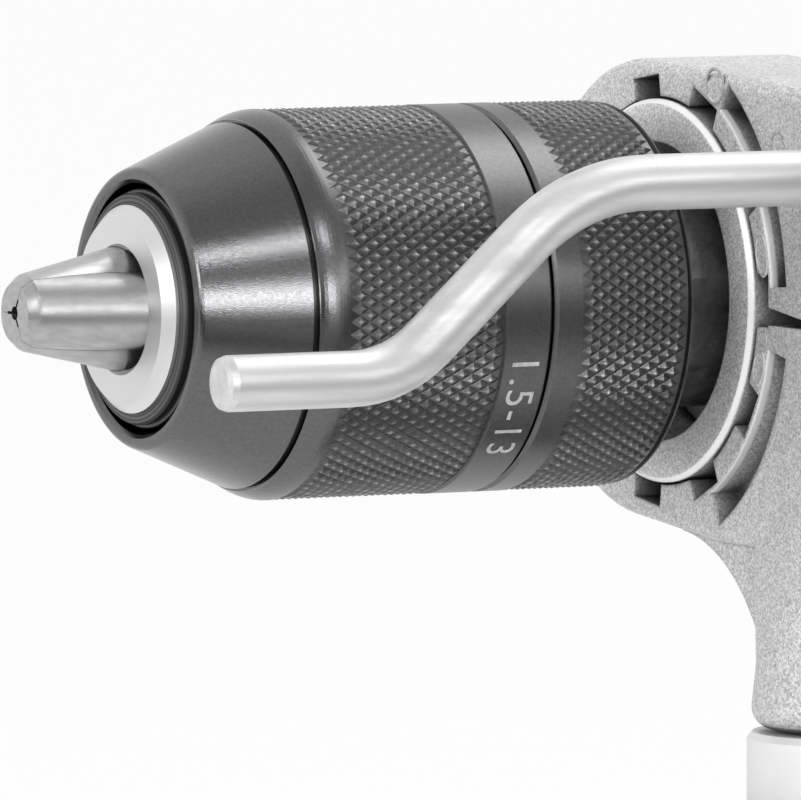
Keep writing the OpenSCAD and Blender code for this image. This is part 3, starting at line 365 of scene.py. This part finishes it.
def rounded(tree, radius, samples):
    """Normals that run round an edge as if it had a radius."""
    node = tree.nodes.new("ShaderNodeBevel")
    node.samples = samples
    node.inputs["Radius"].default_value = radius
    return node.outputs["Normal"]


def shade(colour, factor):
    """The colour made lighter or darker, never past white."""
    return (*(min(1.0, part * factor) for part in colour), 1)


def finish(name, colour, metallic, roughness, cloud=70, cloudy=0.12, gloss_swing=0.06, grain=1500,
           depth=0.00002, stretch=(1, 1, 1), round_edge=0.0, worn=0.0):
    """The common recipe; cloud and grain count features in a metre, depth is in metres."""
    material, tree, shader = new_finish(name)
    clouds = noise(tree, cloud, 3.0, stretch)
    tone = tones(tree, spread(tree, clouds, 0, 1), shade(colour, 1 - cloudy),
                 shade(colour, 1 + cloudy))
    gloss = spread(tree, clouds, roughness + gloss_swing, max(0.03, roughness - gloss_swing))
    tree.links.new(gloss, shader.inputs["Roughness"])
    normal = rounded(tree, round_edge, 6) if round_edge else None
    if worn:
        flat = tree.nodes.new("ShaderNodeNewGeometry").outputs["Normal"]
        evenness = vector_maths(tree, "DOT_PRODUCT", normal, flat)
        rub = spread(tree, evenness, worn, 0.0, 0.75, 0.98)
        tone = tones(tree, rub, tone, shade(colour, 1.7))
    tree.links.new(tone, shader.inputs["Base Color"])
    relief = noise(tree, grain, 2.0, stretch)
    tree.links.new(bump(tree, relief, depth, normal), shader.inputs["Normal"])
    shader.inputs["Metallic"].default_value = metallic
    return material


dressed = set()


def dress(material, *names):
    """Gives the finish to solids by name."""
    for name in names:
        mesh = nodes[name].data
        mesh.materials.clear()
        mesh.materials.append(material)
        dressed.add(name)


print("recipe ready")

# %% [markdown]
# ### Bright steel
#
# The jaws and the nose are ground and turned steel. Turning leaves rings round the spindle, so the
# nose's noise is stretched: slow along the ring and quick along X. The jaws are ground along their
# length, so theirs is slower along X. A little roughness spreads the soft box into the pale sheen
# of the photograph.

# %% Jaws and nose
jaw_steel = finish("ground_steel", (0.45, 0.45, 0.45), 1.0, 0.34, cloud=1300, cloudy=0.10,
                   gloss_swing=0.04, grain=5200, depth=0.000014, stretch=(0.35, 1, 1))
nose_steel = finish("turned_steel", (0.74, 0.74, 0.74), 1.0, 0.40, cloud=60, cloudy=0.06,
                    grain=900, depth=0.000004, stretch=(6, 0.4, 0.4))
dress(jaw_steel, "jaw_1", "jaw_2", "jaw_3")
dress(nose_steel, "chuck_body")
print("bright steel on jaws and nose")

# %% [markdown]
# ### Dark satin sleeves
#
# The sleeves are steel with a dark bath finish: nearly black where the dim side of the booth is
# reflected, and almost white where the soft box is. Fine specks give the grainy edge that the
# highlight has. The front cone is polished by hands and glossier than the bands behind it, so the
# roughness grows over a few millimetres along X.

# %% Sleeves
cone_roughness, band_roughness = 0.18, 0.36
cone_ends, band_starts = 27 * mm, 31 * mm

sleeve_finish = finish("dark_satin", (0.145, 0.145, 0.148), 1.0, cone_roughness, cloud=2600,
                       cloudy=0.10, grain=7000, depth=0.000014)
tree = sleeve_finish.node_tree
shader = next(n for n in tree.nodes if n.type == "BSDF_PRINCIPLED")
feed(tree, shader.inputs["Roughness"],
     spread(tree, axes(tree)["X"], cone_roughness, band_roughness, cone_ends, band_starts))
dress(sleeve_finish, "front_sleeve", "rear_sleeve")
print("dark satin on the sleeves")

# %% [markdown]
# ### Inner and small metal parts
#
# The inside shows through the vents and in the other views. Each metal gets its usual colour:
# oiled steel for gears and shafts, brighter steel for bearings, copper and brass for the motor,
# and laminated cores whose noise is quick along X, as stacked sheets are.

# %% Inner and small metal parts
tool_steel = finish("oiled_steel", (0.30, 0.30, 0.31), 1.0, 0.30, cloud=160, grain=2400,
                    depth=0.000008)
dress(tool_steel, "split_nut", "spindle_gear", "turning_ratchet", "fixed_ratchet",
      "hammer_spring", "intermediate_shaft", "intermediate_gear", "armature_shaft")
dress(finish("black_oxide", (0.03, 0.03, 0.032), 0.8, 0.38, cloud=300, grain=3000,
             depth=0.00001), "chuck_screw", "shell_screws", "case_screws")
dress(finish("bearing_steel", (0.55, 0.55, 0.56), 1.0, 0.16, cloud=90, grain=1200,
             depth=0.000002),
      "thrust_balls", "front_bearing", "motor_front_bearing", "motor_rear_bearing")
dress(finish("core_steel", (0.20, 0.20, 0.21), 0.9, 0.45, cloud=90, grain=900, depth=0.00003,
             stretch=(12, 0.3, 0.3)), "armature_core", "stator_core")
dress(finish("copper_wire", (0.36, 0.13, 0.06), 0.8, 0.34, cloud=130, grain=1800,
             depth=0.00008), "armature_windings", "field_coils")
dress(finish("commutator_copper", (0.47, 0.20, 0.10), 1.0, 0.26, cloud=90, depth=0.000006,
             stretch=(8, 0.4, 0.4)), "commutator")
dress(finish("sintered_bronze", (0.40, 0.23, 0.09), 1.0, 0.42, cloud=300, grain=4200),
      "rear_bush")
dress(finish("pressed_brass", (0.48, 0.30, 0.11), 1.0, 0.28, cloud=120, depth=0.000006),
      "brush_holders")
dress(finish("carbon", (0.016, 0.016, 0.017), 0.1, 0.6, cloud=300, grain=3800),
      "carbon_brushes")
dress(finish("die_cast", (0.38, 0.38, 0.385), 0.85, 0.42, cloud=140, grain=1600,
             depth=0.00003), "gear_plate", "bearing_bracket")
print("inner parts dressed")

# %% [markdown]
# ### Spindle barrel
#
# Between the chuck and the collar a short dark barrel shows, oily and smoked in patches. Strong
# clouds in both the colour and the gloss make the patches.

# %% Spindle barrel
barrel_finish = finish("smoked_steel", (0.30, 0.30, 0.303), 0.9, 0.32, cloud=330, cloudy=0.55,
                       gloss_swing=0.14, grain=2600)
dress(barrel_finish, "spindle")
print("barrel dressed")

# %% [markdown]
# ### Cast silver clamp and gear case
#
# The clamp's halves and the gear case are painted castings with a coarse, sparkling grain. The
# grain is a cell pattern: each cell of about a fifth of a millimetre takes its own brightness,
# gloss and height, over a softer noise.
#
# Painted shade keeps the slots and notches darker than the open faces: the Ambient Occlusion node
# finds them. A painted highlight lightens the rim of the collar and the inner walls of the slots.
# They
# are found by place: they face away from the spindle, lie near it and are right at the front.

# %% Castings
hollow_reach = 0.004
# Painted shade: the grey of a hollow, as a share of the paint's grey.
painted_shade_share = 0.12
# Painted highlight: the near-white grey of the collar's rim and the slots' inner walls.
painted_highlight_grey = 0.95
rim_reach = (0.0255, 0.0260)
rim_height = (0.0221, 0.0226)
rim_fade = 0.3


def sparkling_cells(tree, cells_per_metre):
    """Three random values to a cell."""
    place = tree.nodes.new("ShaderNodeTexCoord")
    cells = tree.nodes.new("ShaderNodeTexVoronoi")
    cells.inputs["Scale"].default_value = cells_per_metre
    tree.links.new(place.outputs["Object"], cells.inputs["Vector"])
    values = tree.nodes.new("ShaderNodeSeparateColor")
    tree.links.new(cells.outputs["Color"], values.inputs[0])
    return values.outputs


def open_to_air(tree):
    """One on open faces, and nought deep in a hollow, where the castings get painted shade."""
    node = tree.nodes.new("ShaderNodeAmbientOcclusion")
    node.samples = 6
    node.inputs["Distance"].default_value = hollow_reach
    return spread(tree, node.outputs["AO"], 0, 1, 0.34, 0.78)


def off_axis(tree):
    """The way from the spindle's axis to the point."""
    place = tree.nodes.new("ShaderNodeTexCoord")
    return vector_maths(tree, "MULTIPLY", place.outputs["Object"], (0, 1, 1))


def painted_highlight_rims(tree, rim_until):
    """One where the front faces away from the spindle, up to rim_until millimetres along X; these
    rims get a painted highlight.
    """
    away = off_axis(tree)
    normal = tree.nodes.new("ShaderNodeNewGeometry").outputs["Normal"]
    lean = vector_maths(tree, "DOT_PRODUCT", normal, vector_maths(tree, "NORMALIZE", away))
    point = axes(tree)
    share = spread(tree, lean, 0, 1, 0.3, 0.6)
    for limit in (spread(tree, vector_maths(tree, "LENGTH", away), 1, 0, *rim_reach),
                  spread(tree, maths(tree, "ABSOLUTE", point["Z"]), 1, 0, *rim_height),
                  spread(tree, point["X"], 1, 0, (rim_until - rim_fade) * mm, rim_until * mm)):
        share = maths(tree, "MULTIPLY", share, limit)
    return share


def casting(name, light, roughness, cell, depth, rim_until, round_edge):
    """Silver paint over a coarse cast surface; cell counts grains in a metre."""
    material, tree, shader = new_finish(name)
    brightness, height, gloss = sparkling_cells(tree, cell)
    clouds = noise(tree, 45, 3.0)
    paint = tones(tree, spread(tree, clouds, 0, 1), grey(light * 0.92), grey(light * 1.06))
    flecks = tones(tree, brightness, grey(0.64), grey(1.30))
    tone = tones(tree, 1.0, paint, flecks, "MULTIPLY")
    # Painted shade: hollows that Ambient Occlusion finds darken towards that grey.
    tone = tones(tree, open_to_air(tree), grey(light * painted_shade_share), tone)
    # Painted highlight: rims that face away from the spindle turn near white.
    tone = tones(tree, painted_highlight_rims(tree, rim_until), tone, grey(painted_highlight_grey))
    tree.links.new(tone, shader.inputs["Base Color"])
    relief = maths(tree, "ADD", height, noise(tree, cell * 0.45, 3.0))
    tree.links.new(bump(tree, relief, depth, rounded(tree, round_edge, 8)),
                   shader.inputs["Normal"])
    feed(tree, shader.inputs["Roughness"],
         spread(tree, gloss, roughness - 0.12, roughness + 0.1, 0, 1))
    shader.inputs["Metallic"].default_value = 0.35
    return material


clamp_casting = casting("clamp_casting", 0.60, 0.50, cell=4400, depth=0.000015, rim_until=81.7,
                        round_edge=0.0008)
case_casting = casting("case_casting", 0.74, 0.46, cell=5200, depth=0.000010, rim_until=80.5,
                       round_edge=0.0005)
ferrule_finish = finish("smooth_ferrule", (0.80, 0.80, 0.80), 0.25, 0.42, cloudy=0.05,
                        grain=1800, depth=0.00001)
dress(clamp_casting, "upper_jaw", "lower_jaw")
dress(case_casting, "gear_case")
dress(ferrule_finish, "handle_ferrule")
dress(tool_steel, "hinge_pin", "clamp_nut", "handle_bolt")
print("castings dressed")

# %% [markdown]
# ### Plated depth rod
#
# The rod is drawn bar with a thin bright plating. Drawing leaves long faint streaks along it, and
# handling leaves duller smudges. Both noises are stretched along X, the way that the rod runs.

# %% Depth rod
rod_finish, tree, shader = new_finish("plated_rod")
streaks = noise(tree, 900, 3.0, (0.06, 1, 1))
smudges = noise(tree, 420, 4.0, (0.10, 1, 1), 0.6)
tree.links.new(tones(tree, spread(tree, smudges, 0, 1), grey(0.56), grey(0.72)),
               shader.inputs["Base Color"])
tree.links.new(spread(tree, smudges, 0.54, 0.40), shader.inputs["Roughness"])
tree.links.new(bump(tree, streaks, 0.00003), shader.inputs["Normal"])
shader.inputs["Metallic"].default_value = 0.8
dress(rod_finish, "depth_rod")
print("rod dressed")

# %% [markdown]
# ### Plastic and rubber
#
# The motor housing is moulded plastic with a fine spark-eroded grain, and its edges are rounded and
# a little lighter where they are rubbed. Rubber is duller. The dust ring behind the nose has fine
# ridges round the spindle, which a wave pattern of rings gives.

# %% Plastics
dress(finish("housing_plastic", (0.034, 0.035, 0.038), 0.0, 0.50, cloud=40, cloudy=0.10,
             gloss_swing=0.05, grain=3600, depth=0.00003, round_edge=0.0009, worn=0.35),
      "left_shell", "right_shell")
dress(finish("black_plastic", (0.016, 0.016, 0.017), 0.0, 0.42, cloud=90, grain=3000,
             round_edge=0.0005, worn=0.3),
      "fan", "brush_caps", "switch_body", "speed_dial", "lock_button", "reverse_lever",
      "mode_selector", "rod_screw", "trigger")
dress(finish("black_rubber", (0.020, 0.020, 0.021), 0.0, 0.62, cloud=120, cloudy=0.25,
             gloss_swing=0.08, grain=2600), "cord_gland")
dress(finish("grip_rubber", (0.028, 0.028, 0.030), 0.0, 0.66, cloud=60, cloudy=0.2,
             grain=1300, depth=0.00008), "handle_grip")
print("plastic and rubber dressed")

# %% Dust ring
ridges_scale = 620
ridged, tree, shader = new_finish("ridged_dust_ring")
place = tree.nodes.new("ShaderNodeTexCoord")
ridges = tree.nodes.new("ShaderNodeTexWave")
ridges.wave_type = "RINGS"
ridges.rings_direction = "X"
ridges.inputs["Scale"].default_value = ridges_scale
tree.links.new(place.outputs["Object"], ridges.inputs["Vector"])
tree.links.new(tones(tree, ridges.outputs["Fac"], grey(0.02), grey(0.10)),
               shader.inputs["Base Color"])
tree.links.new(bump(tree, ridges.outputs["Fac"], 0.0001), shader.inputs["Normal"])
shader.inputs["Roughness"].default_value = 0.42
shader.inputs["Metallic"].default_value = 0.3
dress(ridged, "dust_ring")
print("solids without a finish:", sorted(set(nodes) - dressed))

# %% [markdown]
# ## Knurls
#
# A knurl is rolled by two crossed wheels, and leaves rows of little pyramids. Here one pyramid is
# about 2.3 mm long along the sleeve and 1.4 mm wide round it. The band starts flat, as a grid with
# two squares to each pyramid. Every second point is a peak and the others lie in the grooves; then
# the strip is rolled round the sleeve and its ends are joined. Splitting each square along its
# groove gives four clean faces to a pyramid.
#
# The peaks are rubbed bright by hands, and unevenly: the finish goes by the height above the
# grooves, broken up by a noise.

# %% Knurled bands
pyramid_length = 2.3
pyramids_round = 94
groove_depth = 0.36
peak_height = 0.02


def knurled_band(name, body, start, end, groove_radius, peak_radius, material):
    """A rolled strip of pyramids round the spindle axis, from start to end, in millimetres."""
    rows = 2 * round((end - start) / pyramid_length)
    only(nodes["gear_case"])
    bpy.ops.mesh.primitive_grid_add(x_subdivisions=2 * pyramids_round, y_subdivisions=rows, size=1)
    band = bpy.context.object
    band.name = name
    mesh = band.data
    for point in mesh.vertices:
        around = round((point.co.x + 0.5) * 2 * pyramids_round)
        along = round((point.co.y + 0.5) * rows)
        is_peak = (around + along) % 2 == 0 and along not in (0, rows)
        radius = peak_radius if is_peak else groove_radius
        angle = around * math.pi / pyramids_round
        point.co = Vector((start + (end - start) * along / rows,
                           radius * math.cos(angle), radius * math.sin(angle))) * mm
    only(band)
    bpy.ops.object.mode_set(mode="EDIT")
    bpy.ops.mesh.select_all(action="SELECT")
    bpy.ops.mesh.remove_doubles(threshold=0.00001)
    bpy.ops.mesh.quads_convert_to_tris(quad_method="SHORTEST_DIAGONAL")
    bpy.ops.mesh.normals_make_consistent(inside=False)
    bpy.ops.object.mode_set(mode="OBJECT")
    middle = mesh.polygons[len(mesh.polygons) // 2]
    if middle.normal.dot(Vector((0, middle.center.y, middle.center.z))) < 0:
        bpy.ops.object.mode_set(mode="EDIT")
        bpy.ops.mesh.select_all(action="SELECT")
        bpy.ops.mesh.flip_normals()
        bpy.ops.object.mode_set(mode="OBJECT")
    mesh.materials.append(material)
    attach(band, body)
    return band


def rubbed_peaks(groove_radius, peak_radius):
    """The sleeves' dark satin, rubbed bright where the pyramids stand highest."""
    material, tree, shader = new_finish("rubbed_knurl")
    radius = vector_maths(tree, "LENGTH", off_axis(tree))
    height = spread(tree, radius, 0, 1, groove_radius * mm, peak_radius * mm)
    rub = maths(tree, "MULTIPLY", spread(tree, height, 0, 1, 0.45, 1.0),
                spread(tree, noise(tree, 700, 4.0), 0, 1))
    tree.links.new(tones(tree, rub, grey(0.12), grey(0.58)), shader.inputs["Base Color"])
    tree.links.new(bump(tree, noise(tree, 3600, 3.0), 0.00004), shader.inputs["Normal"])
    shader.inputs["Metallic"].default_value = 0.95
    shader.inputs["Roughness"].default_value = 0.30
    return material


sleeve_radius = high("front_sleeve").z
seam = high("front_sleeve").x
groove_radius = sleeve_radius - groove_depth
peak_radius = sleeve_radius + peak_height
knurl_finish = rubbed_peaks(groove_radius, peak_radius)
front_knurl = knurled_band("front_knurl", "front_sleeve", low("front_sleeve").x + 15.5,
                           seam - 5.8, groove_radius, peak_radius, knurl_finish)
rear_knurl = knurled_band("rear_knurl", "spindle", low("rear_sleeve").x + 3.6,
                          high("rear_sleeve").x - 1.0, groove_radius, peak_radius, knurl_finish)
for band in (front_knurl, rear_knurl):
    print(band.name, "has", len(band.data.polygons) // 4, "pyramids")

# %% [markdown]
# ## Printed size range
#
# The smooth end of the front sleeve carries the range of shanks that the chuck takes, in small pale
# figures that read downwards. Plain figures in millimetres do here. Text is turned into a flat
# mesh, and then each point is carried from the page to just above the sleeve, as a film of ink:
# across the page becomes round the sleeve, and up the page becomes along it.

# %% Printed figures
figure_height = 3.4
digit_share = 0.70
ink_gap = 0.035
start_angle = math.radians(-13)
base_x = seam - 4.7

only(nodes["gear_case"])
bpy.ops.object.text_add()
bpy.context.object.name = "size_figures"
bpy.context.object.data.body = "1.5-13"
bpy.context.object.data.size = figure_height / digit_share
bpy.context.object.data.space_character = 1.12
bpy.ops.object.convert(target="MESH")
figures = bpy.context.object
for point in figures.data.vertices:
    across, up = point.co.x, point.co.y
    angle = start_angle - across / sleeve_radius
    reach = sleeve_radius + ink_gap
    point.co = Vector((base_x + up, -reach * math.cos(angle), reach * math.sin(angle))) * mm
figures.data.materials.clear()
figures.data.materials.append(finish("pale_ink", (0.42, 0.42, 0.42), 0.0, 0.55, cloud=900,
                                     cloudy=0.25, grain=4000, depth=0.00001))
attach(figures, "front_sleeve")
print("figures:", len(figures.data.polygons), "faces")

# %% [markdown]
# ## Moulding marks
#
# Ejector pins push a casting out of its die and leave faint round rims. The clamp's front face has
# a few, between the slots and the bore. Each is a thin ring, half sunk into the face. Its place is
# given as the angle above the rod side and the distance from the spindle's axis, and it has one
# half width away from the axis and another round it.

# %% Moulding marks
ring_thickness = 0.11
ring_lift = 1.2
face_gap = 0.02
# body, angle in degrees, distance, half width away from the axis, half width round it, in mm
marks = (
    ("upper_jaw", 13, 23.05, 1.15, 2.3),
    ("upper_jaw", 33.5, 31.4, 1.4, 1.6),
    ("upper_jaw", 62.8, 26.25, 1.9, 1.9),
    ("side_handle", -18.5, 23.05, 1.10, 1.9),
    ("side_handle", -10.0, 23.2, 0.75, 0.8),
)
face_x = low("upper_jaw").x
for number, (body, angle, distance, half_across, half_round) in enumerate(marks):
    turn = math.radians(angle)
    only(nodes["gear_case"])
    bpy.ops.mesh.primitive_torus_add(major_segments=48, minor_segments=8, major_radius=1,
                                     minor_radius=ring_thickness)
    mark = bpy.context.object
    mark.name = "moulding_mark_%d" % (number + 1)
    for point in mark.data.vertices:
        outwards = distance + point.co.x * half_across
        sideways = point.co.y * half_round
        point.co = Vector((face_x + face_gap + point.co.z * ring_lift,
                           -outwards * math.cos(turn) + sideways * math.sin(turn),
                           outwards * math.sin(turn) + sideways * math.cos(turn))) * mm
    only(mark)
    bpy.ops.object.mode_set(mode="EDIT")
    bpy.ops.mesh.select_all(action="SELECT")
    bpy.ops.mesh.normals_make_consistent(inside=False)
    bpy.ops.object.mode_set(mode="OBJECT")
    bpy.ops.object.shade_smooth()
    mark.data.materials.append(clamp_casting)
    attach(mark, body)
print("moulding marks:", len(marks))
